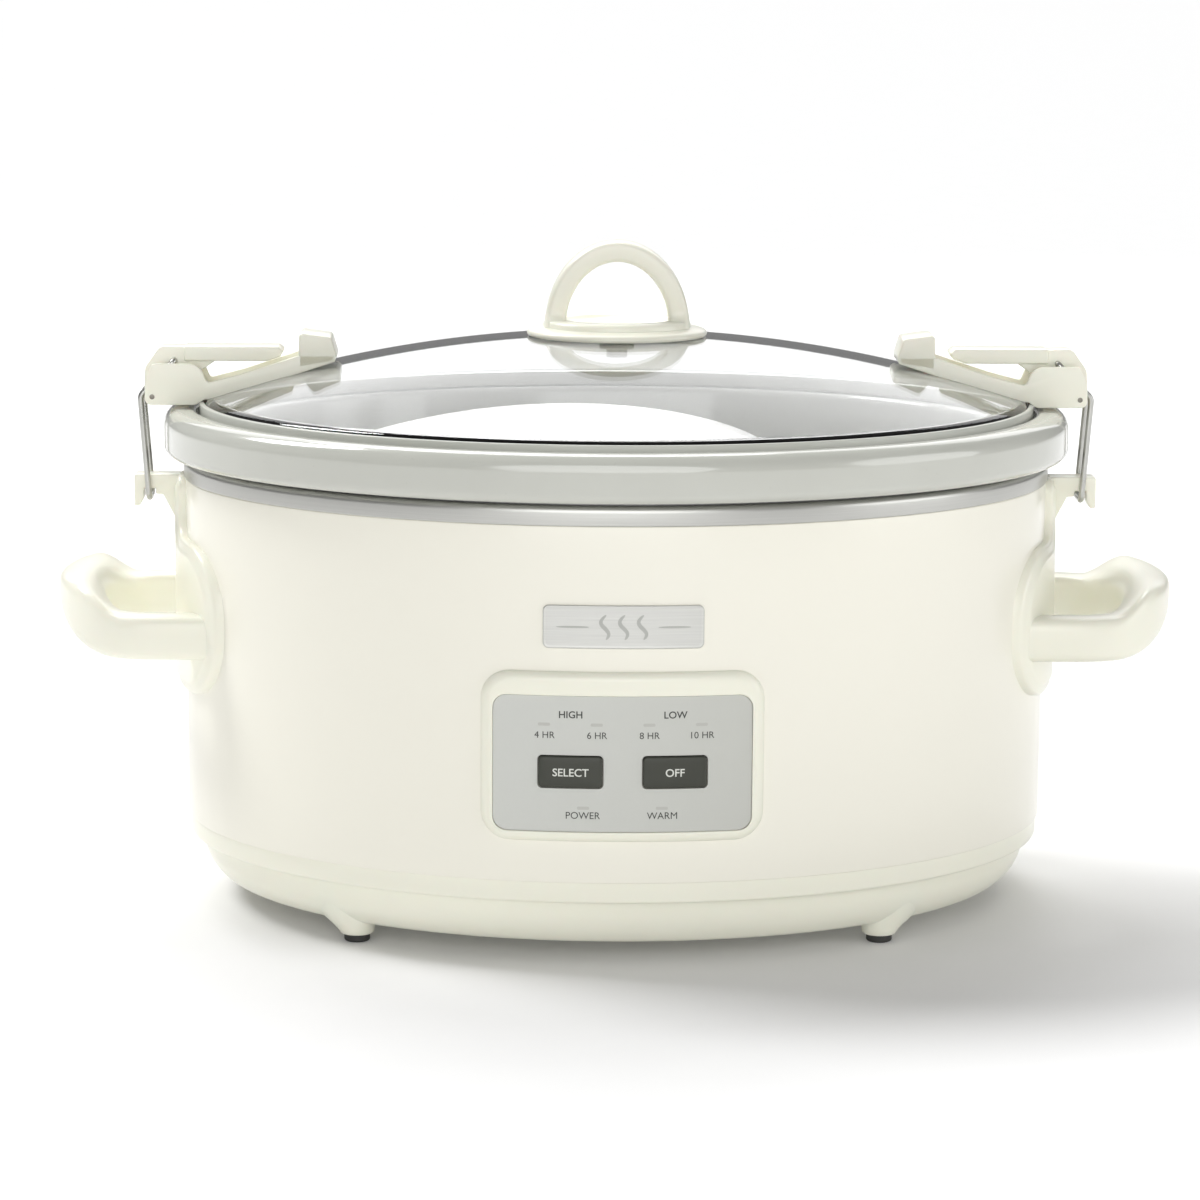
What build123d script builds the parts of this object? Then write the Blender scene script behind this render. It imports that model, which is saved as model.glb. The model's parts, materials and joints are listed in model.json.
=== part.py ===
from build123d import *
import math
import os

# Oval programmable slow cooker with a latching lid, in millimetres.
# Origin: floor level under the middle. +X to the right, -Y to the front, +Z up.

# ---- driving dimensions ----
RATIO = 0.8            # every oval's Y half-axis over its X half-axis
BODY_A = 172.0         # X half-axis of the painted shell's outside
BODY_B = BODY_A * RATIO
WALL = 1.2             # sheet metal
SHELL_Z = (34.0, 169.6)
SEAM_GAP = 0.2

RIM_A = 172.8          # brushed steel rim band
RIM_TOP = 177.0
RIM_INNER_A = 163.0

BASE_BOTTOM = 8.2      # underside of the base pan
BASE_STEP_Z = 25.6
BASE_STEP_A = 166.3
BASE_BAND_A = 171.0
FOOT_X, FOOT_Y = 101.0, 90.0
FOOT_R = 5.0

CROCK_RIM_A = 180.7
CROCK_RIM_Z = (178.5, 196.8)
LEDGE_A = 167.2        # inside of the crock's raised rim
LEDGE_Z = 191.5        # where the gasket rests
CROCK_WALL_TOP_A, CROCK_WALL_BOTTOM_A = 158.5, 146.0
CROCK_BOTTOM = 47.0
WELL_FLOOR = CROCK_BOTTOM - 2.0  # the well tapers from here up to the rim
CROCK_THICK = 8.0
WELL_GAP = 2.0

GLASS_A = 164.4
GLASS_EDGE_Z = 199.1
GLASS_TOP_Z = 226.2
GLASS_THICK = 4.0
DOME_R = (GLASS_A ** 2 + (GLASS_TOP_Z - GLASS_EDGE_Z) ** 2) / (2 * (GLASS_TOP_Z - GLASS_EDGE_Z))
SEAT_GAP = 0.15        # between the glass and what is clamped to it

ARCH_HALF, ARCH_TOP, ARCH_BASE = 29.0, 263.0, 229.2
ARCH_BAR, ARCH_DEPTH = 8.4, 15.0
PLATE_HALF_X, PLATE_HALF_Y = 35.9, 31.0
PLATE_TOP = ARCH_BASE - 2.4       # flange under the raised collar
COLLAR_TOP = ARCH_BASE + 1.0
COLLAR_HALF = (29.4, 25.0)
DISH_HALF = (20.0, 14.0)
DISH_DEPTH = 1.0

LEVER_PIVOT = (184.5, 200.9)     # distance outboard of the middle, height
BAIL_PIVOT = (175.8, 214.9)
BAIL_ELBOW = (189.2, 201.1)
BAIL_BAR = (186.1, 159.9)
WIRE_R = 1.2
WIRE_Y = 7.1
PIN_R = 1.5
RUN_FIT = 0.05                   # radial clearance of a pin that turns
CHEEK_Y = (8.6, 10.6)
LEVER_ROOT_HALF, LEVER_PAD_HALF = 5.6, 7.0
LEVER_Z = (214.8, 220.6)

HOOK_HALF = 5.0
STRIP_HALF = 12.0
BRACKET_PROUD = 4.5
ESCUTCHEON = (125.0, 59.0, 116.3)  # width, height, middle height
GRIP_OUT = 222.5
GRIP_GAP_OUT = 203.0
LOOP_HALF, LOOP_GAP_HALF = 58.5, 42.5
ARM_Z = (103.0, 122.6)
GRIP_TOP = 131.0
SCREW_Y, SCREW_Z = 50.0, 112.8

BEZEL = (106.0, 64.7, 82.6)      # width, height, middle height
OVERLAY = (97.0, 51.7, 80.2)
WINDOW_IN_SHELL = (91.6, 43.6)
BEZEL_PROUD, OVERLAY_FACE, OVERLAY_BACK = 2.8, 2.2, 1.6
BUTTON = (24.0, 12.0)
BUTTON_X, BUTTON_Z = 19.5, 77.2
BUTTON_FACE, BUTTON_BACK_Y = 3.0, -133.8
BUTTON_GAP = 0.35
LED_SIZE = (4.5, 1.2)
LED_PLACES = [(x, 95.2) for x in (-29.4, -9.8, 9.8, 29.4)] + [(x, 63.5) for x in (-14.7, 14.7)]
BOARD_Y = (-128.5, -126.9)
BOARD = (88.0, 48.0)
POST_X, POST_DZ = 40.0, 18.0
BADGE = (60.0, 16.3, 131.9)
TOUCH = 0.05                     # trim stands this far off the shell


# ---- shared shapes ----
def slab(x0, x1, y0, y1, z0, z1):
    return Pos((x0 + x1) / 2, (y0 + y1) / 2, (z0 + z1) / 2) * Box(x1 - x0, y1 - y0, z1 - z0)


def rod(x, y, z0, z1, r):
    return Pos(x, y, (z0 + z1) / 2) * Cylinder(r, z1 - z0)


def cross_rod(x, z, y0, y1, r):
    """A round bar along Y."""
    return Pos(x, (y0 + y1) / 2, z) * Rot(90, 0, 0) * Cylinder(r, y1 - y0)


def side_rod(x0, x1, y, z, r):
    """A round bar along X."""
    return Pos((x0 + x1) / 2, y, z) * Rot(0, 90, 0) * Cylinder(r, x1 - x0)


def oval(proud, z0, z1):
    """The body's oval prism, standing proud of the painted shell by the given amount."""
    return Pos(0, 0, z0) * extrude(Ellipse(BODY_A + proud, BODY_B + proud), z1 - z0)


def oval_turned(outline):
    """A turned ring or bowl squeezed to the body's oval. outline: a face in radius and height."""
    return scale(revolve(Plane.YZ * outline, Axis.Z), by=(1, RATIO, 1))


def skin(pane, face, back):
    """The part of a pane between two offsets of the shell's curved front."""
    box = pane.bounding_box()
    low, high = box.min.Z - 1, box.max.Z + 1
    return (oval(face, low, high) & pane) - oval(back, low - 1, high + 1)


def group(shapes):
    return Compound([solid for shape in shapes for solid in shape.solids()])


def outline(points, rounds=()):
    """A face through the points; rounds lists (point number, radius)."""
    face = make_face(Polyline(*points, close=True))
    for number, radius in rounds:
        corner = face.vertices().sort_by_distance(Vector(*points[number]))[0]
        face = fillet(corner, radius)
    return face


def front_pane(width, height, middle_z, corner, x=0.0, near=100.0):
    """A rounded rectangle's prism that looks to the front and starts inside the body."""
    shape = Plane.XZ * Pos(x, middle_z) * RectangleRounded(width, height, corner)
    return Pos(0, -near, 0) * extrude(shape, 60)


def side_profile(face, y0, y1):
    """A face drawn in (distance outboard, height), on the right, from y0 to y1."""
    return Pos(0, y1, 0) * extrude(Plane.XZ * face, y1 - y0)


def left(shape):
    return mirror(shape, Plane.YZ)


def dome_z(radius):
    return GLASS_TOP_Z - DOME_R + math.sqrt(DOME_R ** 2 - radius ** 2)


# ---- body ----
def outer_shell():
    bottom, top = SHELL_Z
    shell = oval(0, bottom, top) - oval(-WALL, bottom - 1, top - WALL)
    shell -= Pos(0, 0, top - 2) * extrude(Ellipse(RIM_INNER_A, RIM_INNER_A * RATIO), 4)
    shell -= front_pane(*WINDOW_IN_SHELL, OVERLAY[2], 4)
    for y in (-SCREW_Y, SCREW_Y):
        shell -= side_rod(-200, 200, y, SCREW_Z, 2.2)
    return shell - cross_rod(0, 48, 100, 160, 6)


def steel_rim():
    low = SHELL_Z[1]
    face = outline(
        [(RIM_A, low), (RIM_A, RIM_TOP), (RIM_INNER_A, RIM_TOP), (RIM_INNER_A, RIM_TOP - WALL),
         (RIM_A - WALL, RIM_TOP - WALL), (RIM_A - WALL, low)],
        [(1, 2.6), (4, 1.4)])
    return oval_turned(face)


def base_pan():
    top = SHELL_Z[0] - SEAM_GAP
    thick = 2.5
    side = Line((BASE_BAND_A, top), (BASE_BAND_A, BASE_STEP_Z))
    step = Line(side @ 1, (BASE_STEP_A, BASE_STEP_Z))
    curve = ThreePointArc(step @ 1, (164.2, BASE_BOTTOM + 6.6), (157, BASE_BOTTOM))
    under = Line(curve @ 1, (0, BASE_BOTTOM))
    inner = Polyline(
        (0, BASE_BOTTOM), (0, BASE_BOTTOM + thick), (154, BASE_BOTTOM + thick), (161.6, BASE_BOTTOM + 8),
        (163.8, BASE_STEP_Z), (166.8, top - 5), (166.8, top + 6), (BODY_A - WALL - 0.4, top + 6),
        (BODY_A - WALL - 0.4, top), (BASE_BAND_A, top))
    pan = oval_turned(make_face([side, step, curve, under, inner]))
    for x in (-FOOT_X, FOOT_X):
        for y in (-FOOT_Y, FOOT_Y):
            pan += Pos(x, y, 8) * Cone(6.6, 12.5, 10)
            pan -= rod(x, y, 0, 6.2, FOOT_R + 0.05)
    for x, y in board_posts():
        pan += rod(x, y, BASE_BOTTOM + 1, 20, 3)
    return pan - rod(0, 0, 0, 20, 3.2)


def board_posts():
    return [(x, y) for x in (42, 98) for y in (-22, 22)]


def foot(x, y):
    return fillet(rod(x, y, 0, 6, FOOT_R).edges().sort_by(Axis.Z)[0], 0.8)


def well_outside(z):
    """The heating well's outside half-axis at height z."""
    top, bottom = CROCK_WALL_TOP_A + WELL_GAP + WALL, CROCK_WALL_BOTTOM_A + WELL_GAP + WALL
    return bottom + (top - bottom) * (z - WELL_FLOOR) / (RIM_TOP - WELL_FLOOR)


def heating_well():
    floor = CROCK_BOTTOM - 0.8
    out_low, out_top = well_outside(WELL_FLOOR), well_outside(RIM_TOP)
    flange = RIM_TOP + 0.1
    face = outline(
        [(0, floor), (out_low - WALL, floor), (out_top - WALL, flange + 1), (168.6, flange + 1),
         (168.6, flange), (out_top, flange), (out_low, floor - WALL), (0, floor - WALL)],
        [(1, 14), (3, 0.5), (6, 15.2)])
    return oval_turned(face) - rod(0, 0, floor - 5, floor + 5, 2.5)


def heater_band():
    low, high, thick = 62, 112, 2.0
    a, b = well_outside(low) + 0.15, well_outside(high) + 0.15
    return oval_turned(outline([(a, low), (a + thick, low), (b + thick, high), (b, high)]))


def thermal_fuse():
    y = well_outside(52) * RATIO + 3.2
    fuse = side_rod(-7, 7, y, 52, 2.2)
    return fuse + side_rod(-16, 16, y, 52, 0.5)


def centre_stud():
    top = CROCK_BOTTOM - 0.8
    return rod(0, 0, 2.8, top, 2.5) + rod(0, 0, 30, top - 1.4, 5)


def stud_nut():
    nut = Pos(0, 0, 4.2) * extrude(RegularPolygon(5.4, 6), 3.9)
    return nut - rod(0, 0, 0, 20, 2.5)


def heat_shield():
    shield = Pos(0, 0, 29) * extrude(Ellipse(125, 100), 0.8)
    shield -= rod(0, 0, 20, 40, 2.6)
    return shield - slab(40, 100, -30, 30, 20, 40)


def power_board():
    board = slab(35, 105, -29, 29, 20, 21.6)
    board += rod(92, 12, 21.6, 34, 6) + slab(44, 58, 8, 24, 21.6, 30)
    return board


def relay():
    return slab(62, 81, -22, -7, 21.7, 36)


def cord_inlet():
    bush = cross_rod(0, 48, 137.8, 141.5, 9) + cross_rod(0, 48, 130, 138, 5.9)
    return bush - cross_rod(0, 48, 120, 150, 3.4)


# ---- control panel ----
def button_at(x, gap=0.0):
    return front_pane(BUTTON[0] + 2 * gap, BUTTON[1] + 2 * gap, BUTTON_Z, 1.5 + gap, x, -BUTTON_BACK_Y)


def led_slots(grow=0.0):
    return [front_pane(LED_SIZE[0] + grow, LED_SIZE[1] + grow, z, 0.5, x) for x, z in LED_PLACES]


def panel_bezel():
    bezel = skin(front_pane(*BEZEL, 11), BEZEL_PROUD, TOUCH)
    bezel -= skin(front_pane(*OVERLAY, 5.4), BEZEL_PROUD + 1, OVERLAY_BACK)
    for x in (-BUTTON_X, BUTTON_X):
        bezel -= button_at(x, BUTTON_GAP)
    for slot in led_slots(0.8):
        bezel -= slot
    for x in (-POST_X, POST_X):
        for z in (OVERLAY[2] - POST_DZ, OVERLAY[2] + POST_DZ):
            bezel += cross_rod(x, z, -134.6, BOARD_Y[0], 2.5)
    return bezel


def control_overlay():
    pane = front_pane(OVERLAY[0] - 0.2, OVERLAY[1] - 0.2, OVERLAY[2], 5.3)
    sheet = skin(pane, OVERLAY_FACE, OVERLAY_BACK + TOUCH)
    for x in (-BUTTON_X, BUTTON_X):
        sheet -= button_at(x, BUTTON_GAP)
    for slot in led_slots():
        sheet -= slot
    return sheet


def indicator_windows():
    return group([skin(slot, OVERLAY_FACE, OVERLAY_BACK + TOUCH) for slot in led_slots()])


def button(x):
    return oval(BUTTON_FACE, BUTTON_Z - 20, BUTTON_Z + 20) & button_at(x)


def control_board():
    half = BOARD[0] / 2
    return slab(-half, half, *BOARD_Y, OVERLAY[2] - BOARD[1] / 2, OVERLAY[2] + BOARD[1] / 2)


def tactile_switches():
    front = BOARD_Y[0]
    switches = []
    for x in (-BUTTON_X, BUTTON_X):
        can = slab(x - 3, x + 3, front - 3.4, front, BUTTON_Z - 3, BUTTON_Z + 3)
        switches.append(can + cross_rod(x, BUTTON_Z, front - 4.2, front - 3.4, 1.75))
    return group(switches)


def indicator_leds():
    front = BOARD_Y[0]
    return group([slab(x - 1.6, x + 1.6, front - 2.6, front, z - 0.7, z + 0.7) for x, z in LED_PLACES])


def badge_plate():
    return skin(front_pane(*BADGE, 2), 1.0, TOUCH)


# ---- side brackets and carry handles, drawn on the right ----
def bracket():
    top = SHELL_Z[1] - 0.6
    width, height, middle = ESCUTCHEON
    half, low, high = width / 2, middle - height / 2, middle + height / 2
    plate = outline(
        [(-half, low), (half, low), (half, high), (STRIP_HALF, high), (STRIP_HALF, top), (-STRIP_HALF, top),
         (-STRIP_HALF, high), (-half, high)],
        [(0, 24), (1, 24), (2, 24), (3, 9), (6, 9), (7, 24)])
    plate = Pos(100, 0, 0) * extrude(Plane.YZ * plate, 100)
    plate &= oval(BRACKET_PROUD, low - 1, top) - oval(TOUCH, low - 2, top + 1)
    hook = outline(
        [(170, top), (192.5, top), (192.5, top - 12.5), (190.3, top - 12.5), (188.7, top - 9.4),
         (188.7, top - 5.6), (183.9, top - 5.6), (183.9, top - 7.8), (181, top - 8), (176, top - 17.8),
         (170, top - 17.8)],
        [(1, 1.2), (2, 0.8)])
    plate += side_profile(hook, -HOOK_HALF, HOOK_HALF) - oval(TOUCH, 100, 200)
    for y in (-SCREW_Y, SCREW_Y):
        plate -= side_rod(150, 200, y, SCREW_Z, 2.2)
    return plate


def carry_handle():
    inside = 140.0
    loop = Pos((inside + GRIP_OUT) / 2, 0) * Rectangle(GRIP_OUT - inside, 2 * LOOP_HALF)
    loop = fillet(loop.vertices().group_by(Axis.X)[-1], 34)
    gap = Pos((inside + GRIP_GAP_OUT) / 2, 0) * Rectangle(GRIP_GAP_OUT - inside, 2 * LOOP_GAP_HALF)
    gap = fillet(gap.vertices().group_by(Axis.X)[-1], 20)
    ring = Pos(0, 0, 90) * extrude(loop - gap, 50)
    low, high = ARM_Z
    under = Line((inside, low), (194, low))
    sweep_up = ThreePointArc(under @ 1, (212.6, low + 6.2), (GRIP_OUT, low + 19.5))
    rest = Polyline((GRIP_OUT, low + 19.5), (GRIP_OUT, GRIP_TOP), (206, GRIP_TOP), (198, high), (inside, high),
                    (inside, low))
    side = make_face([under, sweep_up, rest])
    handle = ring & side_profile(side, -65, 65)
    handle -= oval(BRACKET_PROUD + TOUCH, 80, 150)
    for y in (-SCREW_Y, SCREW_Y):
        handle -= side_rod(150, 186, y, SCREW_Z, 2.0)
    return handle


def handle_screws():
    screws = []
    for y in (-SCREW_Y, SCREW_Y):
        screws.append(side_rod(155, 185.5, y, SCREW_Z, 2.0) + side_rod(152, 155, y, SCREW_Z, 3.8))
    return group(screws)


# ---- stoneware crock ----
def stoneware_crock():
    low, high = CROCK_RIM_Z
    wall = CROCK_THICK
    face = outline(
        [(0, CROCK_BOTTOM + wall + 2), (CROCK_WALL_BOTTOM_A - wall, CROCK_BOTTOM + wall + 2),
         (CROCK_WALL_TOP_A - wall + 1, LEDGE_Z), (LEDGE_A, LEDGE_Z), (LEDGE_A, high),
         (CROCK_RIM_A, high), (CROCK_RIM_A, low), (CROCK_WALL_TOP_A, low),
         (CROCK_WALL_BOTTOM_A, CROCK_BOTTOM), (0, CROCK_BOTTOM)],
        [(1, 20), (2, 3), (3, 1.5), (4, 3.2), (5, 7.5), (6, 4), (7, 2), (8, 16)])
    return oval_turned(face)


# ---- lid ----
def dome_face(offset, reach):
    """Everything under the glass's outside, grown by offset, out to reach."""
    top = ThreePointArc(
        (0, GLASS_TOP_Z + offset), (reach / 2, dome_z(reach / 2) + offset), (reach, dome_z(reach) + offset))
    rest = Polyline((reach, dome_z(reach) + offset), (reach, 100), (0, 100), (0, GLASS_TOP_Z + offset))
    return make_face([top, rest])


def glass_lid():
    pane = make_face([
        ThreePointArc((0, GLASS_TOP_Z), (GLASS_A / 2, dome_z(GLASS_A / 2)), (GLASS_A, GLASS_EDGE_Z)),
        Polyline((GLASS_A, GLASS_EDGE_Z), (GLASS_A, GLASS_EDGE_Z - GLASS_THICK)),
        ThreePointArc(
            (GLASS_A, GLASS_EDGE_Z - GLASS_THICK), (GLASS_A / 2, dome_z(GLASS_A / 2) - GLASS_THICK),
            (0, GLASS_TOP_Z - GLASS_THICK)),
        Line((0, GLASS_TOP_Z - GLASS_THICK), (0, GLASS_TOP_Z))])
    edge = pane.vertices().group_by(Axis.X)[-1]
    return oval_turned(fillet(edge, 1.2)) - rod(0, 0, GLASS_TOP_Z - 10, GLASS_TOP_Z + 10, 3.6)


def lid_gasket():
    low = LEDGE_Z + 0.4
    out = LEDGE_A - 0.8
    face = outline(
        [(157, low), (out, low), (out, GLASS_EDGE_Z), (GLASS_A + 0.2, GLASS_EDGE_Z),
         (GLASS_A + 0.2, GLASS_EDGE_Z - GLASS_THICK - 0.3), (157, dome_z(157) - GLASS_THICK - 0.3)],
        [(1, 1.0), (2, 0.6)])
    return oval_turned(face)


def lid_handle():
    low = GLASS_TOP_Z - 6
    plate = Pos(0, 0, low) * extrude(Ellipse(PLATE_HALF_X, PLATE_HALF_Y), PLATE_TOP - low)
    plate = fillet(plate.edges().sort_by(Axis.Z)[-1], 0.8)
    collar = Pos(0, 0, low) * extrude(Ellipse(*COLLAR_HALF), COLLAR_TOP - low)
    collar = fillet(collar.edges().sort_by(Axis.Z)[-1], 1.5)
    rise = ARCH_TOP - ARCH_BASE
    outer = Ellipse(ARCH_HALF, rise)
    inner = Ellipse(ARCH_HALF - ARCH_BAR, rise - ARCH_BAR)
    band = (outer - inner) & (Pos(0, 50) * Rectangle(200, 100))
    arch = Pos(0, ARCH_DEPTH / 2, 0) * extrude(Plane.XZ * Pos(0, ARCH_BASE) * band, ARCH_DEPTH)
    arch = fillet(arch.edges().filter_by(GeomType.ELLIPSE), 3)
    handle = plate + collar + arch - oval_turned(dome_face(SEAT_GAP, 60))
    handle -= Pos(0, 0, COLLAR_TOP - DISH_DEPTH) * extrude(Ellipse(*DISH_HALF), DISH_DEPTH + 1)
    return handle - rod(0, 0, low - 10, ARCH_BASE - 1, 2.0)


def lid_handle_screw():
    head = GLASS_TOP_Z - 10.5
    return rod(0, 0, head, ARCH_BASE - 1.2, 2.0) + rod(0, 0, head, head + 3, 4.2)


def handle_washer():
    low = GLASS_TOP_Z - 7.4
    return rod(0, 0, low, low + 3.2, 7.0) - rod(0, 0, low - 1, low + 4, 2.1)


# ---- latches, drawn on the right ----
def from_pivot(points):
    """Points given outboard of and above the lever's pin."""
    x, z = LEVER_PIVOT
    return [(x + dx, z + dz) for dx, dz in points]


def clip_frame():
    inner, outer = CHEEK_Y
    cheek = outline(
        from_pivot([(-0.1, 13.2), (-18.6, 13.2), (-21.6, 5.6), (-34.6, 8.9), (-58.8, 16.8), (-73.1, 16.8),
                    (-73.1, 7.7), (-34.5, -1.3), (-19, -3.3), (2.9, -3.3), (2.9, 3.7), (1.7, 9.7)]),
        [(1, 6.5), (2, 2.0), (9, 2.6)])
    frame = side_profile(cheek, inner, outer) + side_profile(cheek, -outer, -inner)
    floor = outline(from_pivot(
        [(-13.5, 2.2), (-24.5, 3.7), (-57, 14.2), (-73.1, 16.7), (-73.1, 7.7), (-24.5, -7.3), (-13.5, -3.3)]))
    frame += side_profile(floor, -outer, outer)
    end = outline(
        from_pivot([(-57.9, 14.7), (-58.3, 25.7), (-70.9, 24.0), (-73.1, 16.7), (-73.1, 7.7), (-57.9, 7.7)]),
        [(1, 1.2), (2, 1.5)])
    frame += side_profile(end, -outer, outer)
    x, z = LEVER_PIVOT
    frame -= slab(x - 47.3, x - 41.1, -4.5, 4.5, z + 2.7, z + 14.7)
    frame -= oval_turned(dome_face(SEAT_GAP, GLASS_A - 0.2))
    over_rim = GLASS_EDGE_Z + 0.6
    frame -= oval_turned(outline([(100, 150), (167, 150), (167, over_rim), (100, over_rim)]))
    frame -= cross_rod(x, z, -20, 20, PIN_R)
    return frame.solids().sort_by(SortBy.VOLUME)[-1]


def lever_pin():
    x, z = LEVER_PIVOT
    return cross_rod(x, z, -CHEEK_Y[1], CHEEK_Y[1], PIN_R)


def lever():
    low, high = LEVER_Z
    px, pz = LEVER_PIVOT
    root = outline(
        [(px - 26, high), (181.5, high), (px + 3.1, pz + 11.2), (px + 3.6, pz), (px - 3.6, pz),
         (px - 5, pz + 7.2), (px - 10.9, pz + 9.4), (px - 18.6, pz + 10.6), (px - 26, low + 0.4)],
        [(1, 3), (2, 4)])
    grip = outline([(172, low), (172, high), (134.5, high), (132.5, high - 1.6), (134.0, low + 1.4), (139, low)])
    arm = side_profile(root, -LEVER_ROOT_HALF, LEVER_ROOT_HALF)
    arm += cross_rod(px, pz, -LEVER_ROOT_HALF, LEVER_ROOT_HALF, 3.6)
    arm += side_profile(grip, -LEVER_PAD_HALF, LEVER_PAD_HALF)
    arm -= cross_rod(px, pz, -20, 20, PIN_R + RUN_FIT)
    return arm - cross_rod(*BAIL_PIVOT, -20, 20, WIRE_R + RUN_FIT)


def bail():
    """One bent wire: a stub in each side of the lever, two cranked legs and the bar under the hook."""
    (px, pz), (ex, ez), (bx, bz) = BAIL_PIVOT, BAIL_ELBOW, BAIL_BAR
    corners = [(px, -2, pz), (px, -WIRE_Y, pz), (ex, -WIRE_Y, ez), (bx, -WIRE_Y, bz), (bx, WIRE_Y, bz),
               (ex, WIRE_Y, ez), (px, WIRE_Y, pz), (px, 2, pz)]
    path = FilletPolyline(*corners, radius=[1.4, 4, 2.4, 2.4, 4, 1.4])
    return sweep(Plane(path @ 0, z_dir=path % 0) * Circle(WIRE_R), path)


PARTS = {
    "outer_shell": outer_shell,
    "steel_rim": steel_rim,
    "base_pan": base_pan,
    "front_left_foot": lambda: foot(-FOOT_X, -FOOT_Y),
    "front_right_foot": lambda: foot(FOOT_X, -FOOT_Y),
    "rear_left_foot": lambda: foot(-FOOT_X, FOOT_Y),
    "rear_right_foot": lambda: foot(FOOT_X, FOOT_Y),
    "heating_well": heating_well,
    "heater_band": heater_band,
    "thermal_fuse": thermal_fuse,
    "centre_stud": centre_stud,
    "stud_nut": stud_nut,
    "heat_shield": heat_shield,
    "power_board": power_board,
    "relay": relay,
    "cord_inlet": cord_inlet,
    "panel_bezel": panel_bezel,
    "control_overlay": control_overlay,
    "indicator_windows": indicator_windows,
    "indicator_leds": indicator_leds,
    "control_board": control_board,
    "tactile_switches": tactile_switches,
    "select_button": lambda: button(-BUTTON_X),
    "off_button": lambda: button(BUTTON_X),
    "badge_plate": badge_plate,
    "stoneware_crock": stoneware_crock,
    "glass_lid": glass_lid,
    "lid_gasket": lid_gasket,
    "lid_handle": lid_handle,
    "lid_handle_screw": lid_handle_screw,
    "handle_washer": handle_washer,
}
SIDE_PARTS = {
    "bracket": bracket,
    "carry_handle": carry_handle,
    "handle_screws": handle_screws,
    "clip_frame": clip_frame,
    "lever_pin": lever_pin,
    "lever": lever,
    "bail": bail,
}

os.makedirs("parts", exist_ok=True)
for name, make in PARTS.items():
    export_step(make(), f"parts/{name}.step")
for name, make in SIDE_PARTS.items():
    shape = make()
    export_step(shape, f"parts/right_{name}.step")
    export_step(left(shape), f"parts/left_{name}.step")
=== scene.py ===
import json
import math

import bmesh
import bpy
from mathutils import Matrix, Vector


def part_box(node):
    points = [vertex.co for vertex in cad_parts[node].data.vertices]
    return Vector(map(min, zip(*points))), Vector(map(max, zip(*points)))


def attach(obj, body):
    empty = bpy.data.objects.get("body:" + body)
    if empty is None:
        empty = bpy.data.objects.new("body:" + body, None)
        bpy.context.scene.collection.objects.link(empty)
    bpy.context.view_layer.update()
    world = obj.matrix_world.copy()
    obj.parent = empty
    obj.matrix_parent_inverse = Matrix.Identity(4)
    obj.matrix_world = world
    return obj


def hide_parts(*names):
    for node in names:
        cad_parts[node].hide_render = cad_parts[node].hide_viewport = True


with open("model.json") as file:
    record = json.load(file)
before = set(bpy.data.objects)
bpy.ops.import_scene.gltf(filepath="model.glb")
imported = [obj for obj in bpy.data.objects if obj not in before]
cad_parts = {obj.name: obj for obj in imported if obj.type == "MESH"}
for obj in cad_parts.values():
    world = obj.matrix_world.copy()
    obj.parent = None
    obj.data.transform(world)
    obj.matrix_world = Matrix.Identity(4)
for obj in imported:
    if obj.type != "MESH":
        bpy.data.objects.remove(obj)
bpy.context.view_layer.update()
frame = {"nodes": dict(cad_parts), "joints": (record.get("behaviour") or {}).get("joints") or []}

MM = 0.001


# ---- places, read from the frame, in millimetres ----
class Span:
    """A CAD node's box."""

    def __init__(self, node):
        low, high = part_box(node)
        self.x0, self.y0, self.z0 = (v / MM for v in low)
        self.x1, self.y1, self.z1 = (v / MM for v in high)
        self.x = (self.x0 + self.x1) / 2
        self.y = (self.y0 + self.y1) / 2
        self.z = (self.z0 + self.z1) / 2
        self.width = self.x1 - self.x0
        self.depth = self.y1 - self.y0
        self.height = self.z1 - self.z0


def pivot(joint):
    """A hinge's place: how far outboard of the middle, and how high."""
    place = next(j["pos_m"] for j in frame["joints"] if j["name"] == joint)
    return abs(place[0]) / MM, place[2] / MM


shell_box = Span("outer_shell")
BODY_A, BODY_B = shell_box.x1, shell_box.y1
RATIO = BODY_B / BODY_A


# ---- outlines: lists of flat points ----
def rounded(points, radii, steps=6):
    """The closed outline with each corner rounded. radii: one number, or corner number to radius."""
    out = []
    count = len(points)
    for i, here in enumerate(points):
        radius = radii.get(i, 0) if isinstance(radii, dict) else radii
        here = Vector(here)
        back = Vector(points[i - 1]) - here
        ahead = Vector(points[(i + 1) % count]) - here
        if radius <= 0 or back.length < 1e-6 or ahead.length < 1e-6:
            out.append(tuple(here))
            continue
        turn = back.angle(ahead)
        if turn > math.pi - 1e-3:
            out.append(tuple(here))
            continue
        cut = min(radius / math.tan(turn / 2), back.length * 0.49, ahead.length * 0.49)
        start = here + back.normalized() * cut
        end = here + ahead.normalized() * cut
        true_radius = cut * math.tan(turn / 2)
        middle = (back.normalized() + ahead.normalized()).normalized()
        centre = here + middle * (true_radius / math.sin(turn / 2))
        a0 = math.atan2(start.y - centre.y, start.x - centre.x)
        a1 = math.atan2(end.y - centre.y, end.x - centre.x)
        sweep = (a1 - a0 + math.pi) % (2 * math.pi) - math.pi
        for k in range(steps + 1):
            a = a0 + sweep * k / steps
            out.append((centre.x + true_radius * math.cos(a), centre.y + true_radius * math.sin(a)))
    return out


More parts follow.
